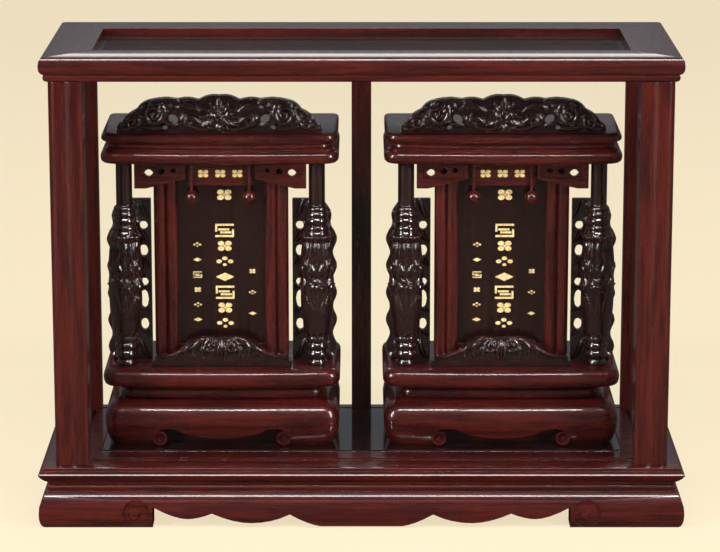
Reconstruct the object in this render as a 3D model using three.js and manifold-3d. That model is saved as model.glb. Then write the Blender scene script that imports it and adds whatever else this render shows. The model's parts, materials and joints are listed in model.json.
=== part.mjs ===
// Glazed rosewood case with two carved ancestor shrines.
// Millimetres, +Z up, front towards -Y, origin on the floor under the middle of the case.

import * as THREE from "three";
import { mergeVertices } from "three/addons/utils/BufferGeometryUtils.js";
import Module from "manifold-3d";

const wasm = await Module();
wasm.setup();

// Driving dimensions of the case
const CASE_HEIGHT = 580;
const BASE_WIDTH = 788;
const BASE_DEPTH = 306;
const TOP_SIDE_INSET = 10.5;
const TOP_FRONT_INSET = 4;
const TOP_REBATE = 6;
const TOP_PANE_DROP = 8;
const PLINTH_HEIGHT = 52;
const PLINTH_BOARD = 24;
const PLINTH_WAIST = 12;
const BASE_BOARD = 24;
const TOP_FRAME = 30;
const TOP_RAIL = 66;
const FRONT_POST = 41;
const FRONT_POST_SIDE_INSET = 20.5;
const FRONT_POST_FRONT_INSET = 12;
const REAR_POST = 17;
const REAR_POST_INSET = 8;
const REAR_GLASS_INSET = 23;
const CENTER_POST_WIDTH = 25;
const GLASS = 4;
const GLASS_GROOVE = 3;
const TRACK_DEPTH = 4;
const TRACK_HEADROOM = 8;
const TRACK_SPACING = 9;
const TRACK_SETBACK = 3;
const PANE_OVERLAP = 20;
const PANE_SIDE_GAP = 1.5;
const PANEL_SIDE_GAP = 21;
const PANEL_FRONT_SETBACK = 77;
const PANEL_DEPTH = 180;
const PANEL_THICKNESS = 7.5;
const PANEL_POCKET = 6;
const FOOT_LENGTH = 139;
const SCROLL_RADIUS = 17;
const SCROLL_RECESS = 4;
const APRON_DROP = 50;

// Driving dimensions of one shrine, and its clearances in the case
const SHRINE_SIDE_CLEARANCE = 23.5;
const SHRINE_BETWEEN = 55;
const SHRINE_HEADROOM = 27.5;
const SHRINE_FRONT_SETBACK = 95;
const SHRINE_DEPTH = 150;
const SHRINE_BOW = 6;
const SHRINE_CORNER = 16;
const SHRINE_FOOT_LENGTH = 68;
const SHRINE_SCROLL_RADIUS = 9;
const SHRINE_APRON_BOARD = 24;
const PLINTH_BULGE_HEIGHT = 56.5;
const WAIST_HEIGHT = 12;
const WAIST_SETBACK = 22;
const DECK_HEIGHT = 29.5;
const COLUMN_SETBACK = 27;
const COLUMN_SIDE_SETBACK = 27.4;
const COLUMN_NECK = 10;
const COLUMN_DRUM = 21;
const CORNICE_HEIGHT = 38;
const CREST_SIDE_SETBACK = 20;
const CREST_HEIGHT = 51;
const CREST_THICKNESS = 12;
const TABLET_SIDE_GAP = 35.6;
const TABLET_STILE = 29;
const TABLET_STEP = 8.5;
const TABLET_STEP_DEPTH = 18;
const SKIRT_HEIGHT = 32;
const SKIRT_THICKNESS = 10;
const FRAME_THICKNESS = 14;
const REED_SWELL = 4.4;
const FRAME_SETBACK = 36;
const FRAME_BOTTOM_RAIL = 24;
const FRAME_TOP_RAIL = 18;
const PLATE_THICKNESS = 4;
const PLATE_LIFT = 8;
const PLATE_GROOVE = 5;
const SLIP_BOX_DEPTH = 30;
const SLIP_BOX_WALL = 5;
const SLIP_COUNT = 5;
const WING_THICKNESS = 7;
const WING_REACH = 28;
const WING_TOP_DROP = 52;
const WING_SETBACK = 24;
const WING_FRAME_GAP = 4;
const HEADER_HEIGHT = 33;
const HEADER_FORWARD = 6;
const PLAQUE_REACH = 4.5;
const PLAQUE_SETBACK = 4;
const PENDANT_X = 35.5;
const PENDANT_DROP = 44;
const PENDANT_RADIUS = 8.5;

// Clearance between pieces that touch
const GAP = 0.3;

// Levels and places that follow from the sizes above
const BASE_TOP = PLINTH_HEIGHT + BASE_BOARD;
const POST_TOP = CASE_HEIGHT - TOP_FRAME;
const FRONT_EDGE = -BASE_DEPTH / 2;
const POST_X = BASE_WIDTH / 2 - FRONT_POST_SIDE_INSET - FRONT_POST / 2;
const FRONT_POST_Y = FRONT_EDGE + FRONT_POST_FRONT_INSET + FRONT_POST / 2;
const REAR_POST_Y = BASE_DEPTH / 2 - REAR_GLASS_INSET;
const REAR_POST_X = POST_X - REAR_POST_INSET;
const TOP_WIDTH = BASE_WIDTH - 2 * TOP_SIDE_INSET;
const TOP_DEPTH = BASE_DEPTH - 2 * TOP_FRONT_INSET;
const SIDE_GLASS_INNER = REAR_POST_X - GLASS / 2;
const TRACK_MIDDLE = FRONT_POST_Y + FRONT_POST / 2 - TRACK_SPACING - TRACK_SETBACK;
const PANEL_TOP = BASE_TOP - PANEL_POCKET + PANEL_THICKNESS;
const PANEL_WIDTH = 2 * (SIDE_GLASS_INNER - PANEL_SIDE_GAP);
const PANEL_Y = FRONT_EDGE + PANEL_FRONT_SETBACK + PANEL_DEPTH / 2;
const SHRINE_HALF = (SIDE_GLASS_INNER - SHRINE_SIDE_CLEARANCE - SHRINE_BETWEEN / 2) / 2;
const SHRINE_SPACING = SHRINE_BETWEEN + 2 * SHRINE_HALF;
const COLUMN_X = SHRINE_HALF - COLUMN_SIDE_SETBACK;
const CREST_HALF = SHRINE_HALF - CREST_SIDE_SETBACK;
const TABLET_HALF = COLUMN_X - TABLET_SIDE_GAP;
const TABLET_OPENING_HALF = TABLET_HALF - TABLET_STILE;
const SHRINE_FRONT = FRONT_EDGE + SHRINE_FRONT_SETBACK;
const SHRINE_BACK = SHRINE_FRONT + SHRINE_DEPTH;
const WAIST_Z = PANEL_TOP + PLINTH_BULGE_HEIGHT;
const DECK_Z = WAIST_Z + WAIST_HEIGHT;
const DECK_TOP = DECK_Z + DECK_HEIGHT;
const CORNICE_TOP = POST_TOP - SHRINE_HEADROOM - CREST_HEIGHT;
const CORNICE_Z = CORNICE_TOP - CORNICE_HEIGHT;
const COLUMN_HEIGHT = CORNICE_Z - DECK_TOP;
const WING_HEIGHT = COLUMN_HEIGHT - WING_TOP_DROP;
const COLUMN_Y = SHRINE_FRONT + COLUMN_SETBACK;
const HEADER_Y = COLUMN_Y - HEADER_FORWARD;
const FRAME_FRONT = SHRINE_FRONT + FRAME_SETBACK;
const FRAME_BACK = FRAME_FRONT + FRAME_THICKNESS;

// Finishes
const ROSEWOOD = { color: 0x4a1412, roughness: 0.22, metalness: 0 };
const DARK_LACQUER = { color: 0x1d0b0a, roughness: 0.2, metalness: 0 };
const CLEAR_GLASS = { color: 0xcfe3dc, roughness: 0.05, metalness: 0 };
const PALE_WOOD = { color: 0xa9865a, roughness: 0.6, metalness: 0 };

const shrineCase = new THREE.Group();

function addMesh(name, geometry, finish) {
  const mesh = new THREE.Mesh(geometry, new THREE.MeshStandardMaterial(finish));
  mesh.name = name;
  shrineCase.add(mesh);
  return mesh;
}

// Closed mesh to solid and back
function solid(geometry) {
  const bare = geometry.index ? geometry.toNonIndexed() : geometry.clone();
  bare.deleteAttribute("normal");
  bare.deleteAttribute("uv");
  const merged = mergeVertices(bare, 1e-4);
  return new wasm.Manifold(new wasm.Mesh({
    numProp: 3,
    vertProperties: Float32Array.from(merged.attributes.position.array),
    triVerts: Uint32Array.from(merged.index.array),
  }));
}

function geometryOf(body) {
  const mesh = body.getMesh();
  const geometry = new THREE.BufferGeometry();
  geometry.setAttribute("position", new THREE.BufferAttribute(mesh.vertProperties, 3));
  geometry.setIndex(new THREE.BufferAttribute(mesh.triVerts, 1));
  geometry.computeVertexNormals();
  return geometry;
}

const FACE_FRONT = new THREE.Matrix4().makeBasis(
  new THREE.Vector3(1, 0, 0), new THREE.Vector3(0, 0, 1), new THREE.Vector3(0, -1, 0));

// A shape drawn in X and Z, with its front face at y and its thickness going back
function frontBoard(shape, y, thickness, curveSegments = 4) {
  const geometry = new THREE.ExtrudeGeometry(shape, {
    depth: thickness, bevelEnabled: false, curveSegments,
  });
  geometry.applyMatrix4(FACE_FRONT);
  geometry.translate(0, y + thickness, 0);
  return geometry;
}

// A shape drawn in X and Y, extruded upwards from z
function upright(shape, z, height, curveSegments = 4) {
  const geometry = new THREE.ExtrudeGeometry(shape, {
    depth: height, bevelEnabled: false, curveSegments,
  });
  geometry.translate(0, 0, z);
  return geometry;
}

// A box from its lowest to its highest corner
function block(low, high) {
  const geometry = new THREE.BoxGeometry(high[0] - low[0], high[1] - low[1], high[2] - low[2]);
  geometry.translate((low[0] + high[0]) / 2, (low[1] + high[1]) / 2, (low[2] + high[2]) / 2);
  return geometry;
}

function rectangle(halfWidth, low, high) {
  const shape = new THREE.Shape();
  shape.moveTo(-halfWidth, low);
  shape.lineTo(halfWidth, low);
  shape.lineTo(halfWidth, high);
  shape.lineTo(-halfWidth, high);
  shape.closePath();
  return shape;
}

// Skin over a stack of rings, closed by a flat cap at each end
function loft(rings) {
  const count = rings[0].length;
  const points = rings.flat();
  const faces = [];
  for (let level = 0; level + 1 < rings.length; level += 1) {
    for (let k = 0; k < count; k += 1) {
      const a = level * count + k;
      const b = level * count + ((k + 1) % count);
      faces.push(a, b, b + count, a, b + count, a + count);
    }
  }
  const last = (rings.length - 1) * count;
  const flat = capPlane(rings[0]);
  const turns = Math.sign(THREE.ShapeUtils.area(flat));
  for (const [i, j, k] of THREE.ShapeUtils.triangulateShape(flat, [])) {
    const same = Math.sign(THREE.ShapeUtils.area([flat[i], flat[j], flat[k]])) === turns;
    const [p, q] = same ? [j, k] : [k, j];
    faces.push(q, p, i, last + i, last + p, last + q);
  }
  const geometry = new THREE.BufferGeometry();
  const flatPoints = points.flatMap((p) => [p.x, p.y, p.z]);
  geometry.setAttribute("position", new THREE.Float32BufferAttribute(flatPoints, 3));
  geometry.setIndex(faces);
  return geometry;
}

// Ring corners in the plane of their own cap, for triangulation
function capPlane(ring) {
  const spread = (key) => Math.max(...ring.map((p) => p[key])) - Math.min(...ring.map((p) => p[key]));
  return spread("z") < 1e-6
    ? ring.map((p) => new THREE.Vector2(p.x, p.y))
    : ring.map((p) => new THREE.Vector2(p.y, p.z));
}

// Plan of a rectangular board at one level, seen from above
function squareRing(halfX, halfY, z) {
  return [
    new THREE.Vector3(halfX, -halfY, z),
    new THREE.Vector3(halfX, halfY, z),
    new THREE.Vector3(-halfX, halfY, z),
    new THREE.Vector3(-halfX, -halfY, z),
  ];
}

// Bow-fronted plan with round front corners and a square back
function bowRing(halfWidth, front, back, z) {
  const points = [new THREE.Vector3(halfWidth, back, z), new THREE.Vector3(-halfWidth, back, z)];
  const straight = halfWidth - SHRINE_CORNER;
  const cornerSteps = 4;
  const bowSteps = 6;
  for (let k = 0; k < cornerSteps; k += 1) {
    const angle = Math.PI * (1 + k / (2 * cornerSteps));
    points.push(new THREE.Vector3(
      -straight + SHRINE_CORNER * Math.cos(angle),
      front + SHRINE_CORNER + SHRINE_CORNER * Math.sin(angle), z));
  }
  for (let k = 0; k <= bowSteps; k += 1) {
    const share = (2 * k) / bowSteps - 1;
    points.push(new THREE.Vector3(straight * share, front - SHRINE_BOW * (1 - share * share), z));
  }
  for (let k = 1; k <= cornerSteps; k += 1) {
    const angle = Math.PI * (1.5 + k / (2 * cornerSteps));
    points.push(new THREE.Vector3(
      straight + SHRINE_CORNER * Math.cos(angle),
      front + SHRINE_CORNER + SHRINE_CORNER * Math.sin(angle), z));
  }
  return points;
}

// Moulding profile: outward offset in x, height in y
function profile(draw, steps = 3) {
  const path = new THREE.Path();
  draw(path);
  return path.getPoints(steps);
}

function bowMoulding(points, z) {
  return loft(points.map((p) => bowRing(
    SHRINE_HALF + p.x, SHRINE_FRONT - p.x, SHRINE_BACK, z + p.y)));
}

// Mitred board of a rectangular frame: its section, outward offset and height, runs along
// one side of a frame whose outer edge is halfX by halfY
function mitredBoard(section, halfX, halfY, side) {
  const along = side === "front" || side === "back";
  const turn = { front: 0, right: 1, back: 2, left: 3 }[side] * Math.PI / 2;
  const halfRun = along ? halfX : halfY;
  const reach = along ? halfY : halfX;
  const end = (sign) => section.toReversed().map((p) => new THREE.Vector3(
    sign * (halfRun + p.x - GAP / 2), -(reach + p.x), p.y));
  const geometry = loft([end(-1), end(1)]);
  geometry.rotateZ(turn);
  return geometry;
}

// Plinth boards with a swelling face, a waist bead and a shaped apron between scroll feet
function plinthSection() {
  const points = profile((path) => {
    path.moveTo(-PLINTH_BOARD - PLINTH_WAIST, 0);
    path.lineTo(-6, 0);
    path.quadraticCurveTo(0, 3, 0, 18);
    path.quadraticCurveTo(0, 36, -PLINTH_WAIST, PLINTH_HEIGHT - 7.5);
    path.lineTo(-PLINTH_WAIST, PLINTH_HEIGHT - 6);
    path.quadraticCurveTo(-PLINTH_WAIST + 4, PLINTH_HEIGHT - 3, -PLINTH_WAIST, PLINTH_HEIGHT);
    path.lineTo(-PLINTH_BOARD - PLINTH_WAIST, PLINTH_HEIGHT);
  }, 4);
  return points;
}

// Space under the apron between two feet, as a serpentine outline
function apronCut(halfRun) {
  const inner = halfRun - FOOT_LENGTH;
  const shape = new THREE.Shape();
  const wave = inner / 5.1;
  shape.moveTo(-inner, -1);
  shape.lineTo(inner, -1);
  shape.lineTo(inner, 27);
  shape.quadraticCurveTo(inner - wave * 0.55, 12, inner - wave * 0.85, 12);
  shape.quadraticCurveTo(inner - wave * 1.1, 12, inner - wave * 1.45, 19);
  shape.quadraticCurveTo(inner - wave * 2, 6.5, inner - wave * 2.4, 6.5);
  shape.quadraticCurveTo(inner - wave * 2.9, 6.5, inner - wave * 3.35, 18);
  shape.quadraticCurveTo(inner - wave * 3.8, 5, APRON_DROP, 2);
  shape.lineTo(-APRON_DROP, 2);
  shape.quadraticCurveTo(-inner + wave * 3.8, 5, -inner + wave * 3.35, 18);
  shape.quadraticCurveTo(-inner + wave * 2.9, 6.5, -inner + wave * 2.4, 6.5);
  shape.quadraticCurveTo(-inner + wave * 2, 6.5, -inner + wave * 1.45, 19);
  shape.quadraticCurveTo(-inner + wave * 1.1, 12, -inner + wave * 0.85, 12);
  shape.quadraticCurveTo(-inner + wave * 0.55, 12, -inner, 27);
  shape.closePath();
  return shape;
}

// Plain arch under a side or back board
function archCut(halfRun) {
  const inner = halfRun - FOOT_LENGTH * 0.55;
  const shape = new THREE.Shape();
  shape.moveTo(-inner, -1);
  shape.lineTo(inner, -1);
  shape.lineTo(inner, 8);
  shape.quadraticCurveTo(inner - 6, 16, inner - 24, 16);
  shape.lineTo(-inner + 24, 16);
  shape.quadraticCurveTo(-inner + 6, 16, -inner, 8);
  shape.closePath();
  return shape;
}

// Round sunk scroll with a raised eye, cut into the face of a foot
function carveScroll(board, x, z, faceY, radius) {
  const ring = new THREE.CylinderGeometry(radius, radius, 2 * SCROLL_RECESS, 20);
  ring.translate(x, faceY, z);
  const eye = new THREE.CylinderGeometry(radius * 0.3, radius * 0.42, SCROLL_RECESS, 12);
  eye.rotateX(Math.PI);
  eye.translate(x - radius * 0.15, faceY + SCROLL_RECESS / 2 + 0.2, z - radius * 0.1);
  return board.subtract(solid(ring)).add(solid(eye));
}

function buildPlinth() {
  const section = plinthSection();
  const halfX = BASE_WIDTH / 2;
  const halfY = BASE_DEPTH / 2;
  const front = solid(mitredBoard(section, halfX, halfY, "front"));
  const apron = solid(frontBoard(apronCut(halfX), -halfY - 10, PLINTH_BOARD * 2 + 20, 4));
  const scrollX = halfX - FOOT_LENGTH + SCROLL_RADIUS + 3;
  const scrollZ = SCROLL_RADIUS + 1.5;
  let shaped = front.subtract(apron);
  for (const side of [-1, 1]) {
    shaped = carveScroll(shaped, side * scrollX, scrollZ, -halfY, SCROLL_RADIUS);
  }
  addMesh("plinth_front", geometryOf(shaped), ROSEWOOD);
  const back = solid(mitredBoard(section, halfX, halfY, "back"));
  const backCut = solid(frontBoard(archCut(halfX), halfY - PLINTH_BOARD * 2, PLINTH_BOARD * 3));
  addMesh("plinth_back", geometryOf(back.subtract(backCut)), ROSEWOOD);
  const sideCut = frontBoard(archCut(halfY), -halfX - 10, BASE_WIDTH + 20);
  sideCut.rotateZ(Math.PI / 2);
  for (const side of ["left", "right"]) {
    const board = solid(mitredBoard(section, halfX, halfY, side));
    addMesh(`plinth_${side}`, geometryOf(board.subtract(solid(sideCut))), ROSEWOOD);
  }
}

// Base board with a pointed nose, track grooves, glass grooves and a pocket for the panel
function buildBase() {
  const edge = profile((path) => {
    path.moveTo(-PLINTH_WAIST, GAP);
    path.lineTo(-PLINTH_WAIST + 1, 4);
    path.quadraticCurveTo(-4, 8, 0, BASE_BOARD - 9.5);
    path.quadraticCurveTo(-1, BASE_BOARD - 7, -5, BASE_BOARD - 5);
    path.quadraticCurveTo(-3.5, BASE_BOARD, -7, BASE_BOARD);
  });
  let board = solid(loft(edge.map((p) => squareRing(
    BASE_WIDTH / 2 + p.x, BASE_DEPTH / 2 + p.x, PLINTH_HEIGHT + p.y))));
  const inner = POST_X - FRONT_POST / 2;
  for (const lane of [-1, 1]) {
    const y = TRACK_MIDDLE + (lane * TRACK_SPACING) / 2;
    board = board.subtract(solid(block(
      [-inner, y - GLASS / 2 - 1, BASE_TOP - TRACK_DEPTH], [inner, y + GLASS / 2 + 1, BASE_TOP + 5])));
  }
  board = cutGlassGrooves(board, BASE_TOP - GLASS_GROOVE, BASE_TOP + 5);
  board = board.subtract(solid(block(
    [-PANEL_WIDTH / 2 - GAP, PANEL_Y - PANEL_DEPTH / 2 - GAP, BASE_TOP - PANEL_POCKET],
    [PANEL_WIDTH / 2 + GAP, PANEL_Y + PANEL_DEPTH / 2 + GAP, BASE_TOP + 5])));
  addMesh("base_board", geometryOf(board), ROSEWOOD);
  const lip = 2;
  const panel = loft([0, PANEL_THICKNESS - lip, PANEL_THICKNESS].map((height) => {
    const inset = height > PANEL_THICKNESS - lip ? lip : 0;
    return squareRing(
      PANEL_WIDTH / 2 - inset, PANEL_DEPTH / 2 - inset, BASE_TOP - PANEL_POCKET + height);
  }));
  panel.translate(0, PANEL_Y, GAP / 2);
  addMesh("floor_panel", panel, ROSEWOOD);
}

// Places of the fixed panes, as boxes without their height
function sidePane(side) {
  const front = FRONT_POST_Y + FRONT_POST / 2 + GAP;
  const back = REAR_POST_Y - REAR_POST / 2 - GAP;
  const x = side * REAR_POST_X;
  return { low: [x - GLASS / 2, front], high: [x + GLASS / 2, back] };
}

function rearPane(side) {
  const outer = REAR_POST_X - REAR_POST / 2 - GAP;
  const inner = CENTER_POST_WIDTH / 2 + GAP;
  const xs = side < 0 ? [-outer, -inner] : [inner, outer];
  return {
    low: [xs[0], REAR_POST_Y - GLASS / 2],
    high: [xs[1], REAR_POST_Y + GLASS / 2],
  };
}

function cutGlassGrooves(body, low, high) {
  let cut = body;
  for (const pane of [sidePane(-1), sidePane(1), rearPane(-1), rearPane(1)]) {
    cut = cut.subtract(solid(block(
      [pane.low[0] - GAP, pane.low[1] - GAP, low], [pane.high[0] + GAP, pane.high[1] + GAP, high])));
  }
  return cut;
}

// Front post: square, with two reeds on the front and two on the outer side
function postShape(side) {
  const half = FRONT_POST / 2;
  const reed = FRONT_POST / 2;
  const swell = 5;
  const shape = new THREE.Shape();
  shape.moveTo(half, half);
  shape.lineTo(-half + swell / 2, half);
  shape.quadraticCurveTo(-half - swell / 2, half - reed / 2, -half + swell / 2, half - reed);
  shape.quadraticCurveTo(-half - swell / 2, -half + reed / 2, -half + swell / 2, -half + swell / 2);
  shape.quadraticCurveTo(-half + reed / 2, -half - swell / 2, 0, -half + swell / 2);
  shape.quadraticCurveTo(half - reed / 2, -half - swell / 2, half, -half + swell / 2);
  shape.closePath();
  const points = shape.getPoints(5).map((p) => new THREE.Vector2(-side * p.x, p.y));
  return new THREE.Shape(points);
}

function buildPosts() {
  const height = POST_TOP - BASE_TOP - 2 * GAP;
  for (const [name, side] of [["left", -1], ["right", 1]]) {
    const front = upright(postShape(side), BASE_TOP + GAP, height);
    front.translate(side * POST_X, FRONT_POST_Y, 0);
    addMesh(`front_post_${name}`, front, ROSEWOOD);
    const half = REAR_POST / 2;
    addMesh(`rear_post_${name}`, block(
      [side * REAR_POST_X - half, REAR_POST_Y - half, BASE_TOP + GAP],
      [side * REAR_POST_X + half, REAR_POST_Y + half, POST_TOP - GAP]), ROSEWOOD);
  }
  addMesh("rear_post_center", block(
    [-CENTER_POST_WIDTH / 2, REAR_POST_Y - REAR_POST / 2, BASE_TOP + GAP],
    [CENTER_POST_WIDTH / 2, REAR_POST_Y + REAR_POST / 2, POST_TOP - GAP]), ROSEWOOD);
}

// Top frame: four mitred rails with a bullnose edge and a rebate for the top pane
function buildTop() {
  const section = profile((path) => {
    path.moveTo(-TOP_RAIL, 0);
    path.lineTo(-9, 0);
    path.quadraticCurveTo(-5, 1, -5, 6);
    path.lineTo(-6, 8.5);
    path.quadraticCurveTo(0, 10, 0, TOP_FRAME - 11);
    path.quadraticCurveTo(0, TOP_FRAME, -7, TOP_FRAME);
    path.lineTo(-TOP_RAIL + TOP_REBATE, TOP_FRAME);
    path.lineTo(-TOP_RAIL + TOP_REBATE, TOP_FRAME - TOP_PANE_DROP - GLASS);
    path.lineTo(-TOP_RAIL, TOP_FRAME - TOP_PANE_DROP - GLASS);
  }).map((p) => new THREE.Vector2(p.x, p.y + POST_TOP));
  const halfX = TOP_WIDTH / 2;
  const halfY = TOP_DEPTH / 2;
  for (const side of ["front", "back", "left", "right"]) {
    let rail = solid(mitredBoard(section, halfX, halfY, side));
    rail = cutGlassGrooves(rail, POST_TOP - 5, POST_TOP + GLASS_GROOVE + 1);
    if (side === "front") {
      const inner = POST_X - FRONT_POST / 2;
      for (const lane of [-1, 1]) {
        const y = TRACK_MIDDLE + (lane * TRACK_SPACING) / 2;
        rail = rail.subtract(solid(block(
          [-inner, y - GLASS / 2 - 1, POST_TOP - 5],
          [inner, y + GLASS / 2 + 1, POST_TOP + TRACK_HEADROOM])));
      }
    }
    addMesh(`top_rail_${side}`, geometryOf(rail), ROSEWOOD);
  }
  const z = CASE_HEIGHT - TOP_PANE_DROP - GLASS;
  addMesh("top_glass", block(
    [-halfX + TOP_RAIL - TOP_REBATE + GAP, -halfY + TOP_RAIL - TOP_REBATE + GAP, z + GAP],
    [halfX - TOP_RAIL + TOP_REBATE - GAP, halfY - TOP_RAIL + TOP_REBATE - GAP, z + GLASS]),
  CLEAR_GLASS);
}

function buildGlass() {
  const low = BASE_TOP - GLASS_GROOVE + GAP;
  const high = POST_TOP + GLASS_GROOVE;
  for (const [name, side] of [["left", -1], ["right", 1]]) {
    const flank = sidePane(side);
    addMesh(`side_glass_${name}`, block([...flank.low, low], [...flank.high, high]), CLEAR_GLASS);
    const rear = rearPane(side);
    addMesh(`rear_glass_${name}`, block([...rear.low, low], [...rear.high, high]), CLEAR_GLASS);
    const y = TRACK_MIDDLE + (side * TRACK_SPACING) / 2;
    const outer = side * (POST_X - FRONT_POST / 2 - PANE_SIDE_GAP);
    const inner = (-side * PANE_OVERLAP) / 2;
    addMesh(`front_pane_${name}`, block(
      [Math.min(outer, inner), y - GLASS / 2, BASE_TOP - TRACK_DEPTH + GAP],
      [Math.max(outer, inner), y + GLASS / 2, POST_TOP + TRACK_HEADROOM / 2]), CLEAR_GLASS);
  }
}

// Shrine plinth: swelling body with a shaped apron and two sunk scrolls
function shrinePlinth() {
  const points = profile((path) => {
    path.moveTo(-8, GAP);
    path.quadraticCurveTo(0, 12, 0, 34);
    path.quadraticCurveTo(-1, 50, -14, PLINTH_BULGE_HEIGHT - 2);
    path.lineTo(-WAIST_SETBACK + 3, PLINTH_BULGE_HEIGHT - GAP);
  }, 4);
  const inner = SHRINE_HALF - SHRINE_FOOT_LENGTH;
  const cut = new THREE.Shape();
  cut.moveTo(-inner, PANEL_TOP - 1);
  cut.lineTo(inner, PANEL_TOP - 1);
  cut.lineTo(inner, PANEL_TOP + 21);
  cut.quadraticCurveTo(inner - 18, PANEL_TOP + 27, inner - 32, PANEL_TOP + 17);
  cut.quadraticCurveTo(0, PANEL_TOP + 3, -inner + 32, PANEL_TOP + 17);
  cut.quadraticCurveTo(-inner + 18, PANEL_TOP + 27, -inner, PANEL_TOP + 21);
  cut.closePath();
  let body = solid(bowMoulding(points, PANEL_TOP));
  const clear = 2 * SHRINE_BOW;
  body = body.subtract(solid(frontBoard(cut, SHRINE_FRONT - clear, clear + SHRINE_APRON_BOARD)));
  const faceY = SHRINE_FRONT - SHRINE_BOW / 3;
  const scrollZ = PANEL_TOP + SHRINE_SCROLL_RADIUS + 1.5;
  for (const side of [-1, 1]) {
    const scroll = new THREE.CylinderGeometry(
      SHRINE_SCROLL_RADIUS, SHRINE_SCROLL_RADIUS, SHRINE_APRON_BOARD, 18);
    scroll.translate(side * (inner - 1), faceY + SHRINE_APRON_BOARD / 2, scrollZ);
    body = body.add(solid(scroll));
    body = carveScroll(body, side * (inner - 1), scrollZ, faceY, SHRINE_SCROLL_RADIUS * 0.75);
  }
  return geometryOf(body);
}

function waistMoulding() {
  return bowMoulding(profile((path) => {
    path.moveTo(-WAIST_SETBACK, GAP);
    path.quadraticCurveTo(-WAIST_SETBACK + 4, WAIST_HEIGHT / 2, -WAIST_SETBACK, WAIST_HEIGHT - GAP);
  }), WAIST_Z);
}

function deckMoulding() {
  return bowMoulding(profile((path) => {
    path.moveTo(-WAIST_SETBACK, 0);
    path.quadraticCurveTo(-WAIST_SETBACK + 2, 6, -4, 7);
    path.quadraticCurveTo(1, 9, 1, DECK_HEIGHT / 2 + 4);
    path.quadraticCurveTo(1, DECK_HEIGHT - 2, -8, DECK_HEIGHT);
  }, 4), DECK_Z);
}

function corniceMoulding() {
  return bowMoulding(profile((path) => {
    path.moveTo(-8, 0);
    path.quadraticCurveTo(0, 0, 0, 8);
    path.quadraticCurveTo(0, 15, -5, 15.5);
    path.lineTo(-4, 18);
    path.quadraticCurveTo(-14, 22, -5, 27);
    path.quadraticCurveTo(-1, 28, -1, 32);
    path.quadraticCurveTo(-1, CORNICE_HEIGHT, -8, CORNICE_HEIGHT);
  }), CORNICE_Z);
}

// Turned and carved column: plain neck, rings, swelling body with petals, turned foot
function carvedColumn() {
  const neck = COLUMN_NECK;
  const drum = COLUMN_DRUM;
  const at = (share) => share * COLUMN_HEIGHT;
  const drumFoot = at(0.167);
  const drumTop = at(0.651);
  const points = profile((path) => {
    path.moveTo(0, 0);
    path.lineTo(1.1 * neck, 0);
    path.quadraticCurveTo(1.35 * neck, at(0.015), neck, at(0.031));
    path.quadraticCurveTo(1.75 * neck, at(0.054), 1.2 * neck, at(0.078));
    path.quadraticCurveTo(1.7 * neck, at(0.097), 1.25 * neck, at(0.116));
    path.quadraticCurveTo(1.8 * neck, at(0.128), 1.5 * neck, at(0.147));
    path.lineTo(0.86 * drum, at(0.171));
    path.quadraticCurveTo(drum, at(0.271), drum, at(0.403));
    path.quadraticCurveTo(drum, at(0.543), 0.86 * drum, at(0.612));
    path.lineTo(drum, at(0.64));
    path.lineTo(1.5 * neck, at(0.667));
    path.quadraticCurveTo(1.7 * neck, at(0.682), 1.3 * neck, at(0.694));
    path.quadraticCurveTo(1.7 * neck, at(0.713), 1.3 * neck, at(0.729));
    path.quadraticCurveTo(1.65 * neck, at(0.744), 1.25 * neck, at(0.76));
    path.quadraticCurveTo(1.5 * neck, at(0.775), neck, at(0.787));
    path.lineTo(neck, at(0.984));
    path.lineTo(1.2 * neck, COLUMN_HEIGHT - 2 * GAP);
    path.lineTo(0, COLUMN_HEIGHT - 2 * GAP);
  }, 2);
  const petals = 8;
  const geometry = new THREE.LatheGeometry(points, 2 * petals);
  geometry.rotateX(Math.PI / 2);
  const place = geometry.attributes.position;
  for (let k = 0; k < place.count; k += 1) {
    const [x, y, z] = [place.getX(k), place.getY(k), place.getZ(k)];
    if (z > drumFoot && z < drumTop) {
      const carve = 1 + 0.05 * Math.cos(petals * Math.atan2(y, x));
      place.setXY(k, x * carve, y * carve);
    }
  }
  return geometryOf(solid(geometry));
}

// Scalloped edge through a run of nodes, each span swelling outwards
function scallops(shape, nodes, swell) {
  for (let k = 1; k < nodes.length; k += 1) {
    const [x0, z0] = nodes[k - 1];
    const [x1, z1] = nodes[k];
    const length = Math.hypot(x1 - x0, z1 - z0);
    shape.quadraticCurveTo(
      (x0 + x1) / 2 + ((z1 - z0) / length) * swell,
      (z0 + z1) / 2 - ((x1 - x0) / length) * swell, x1, z1);
  }
}

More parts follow.
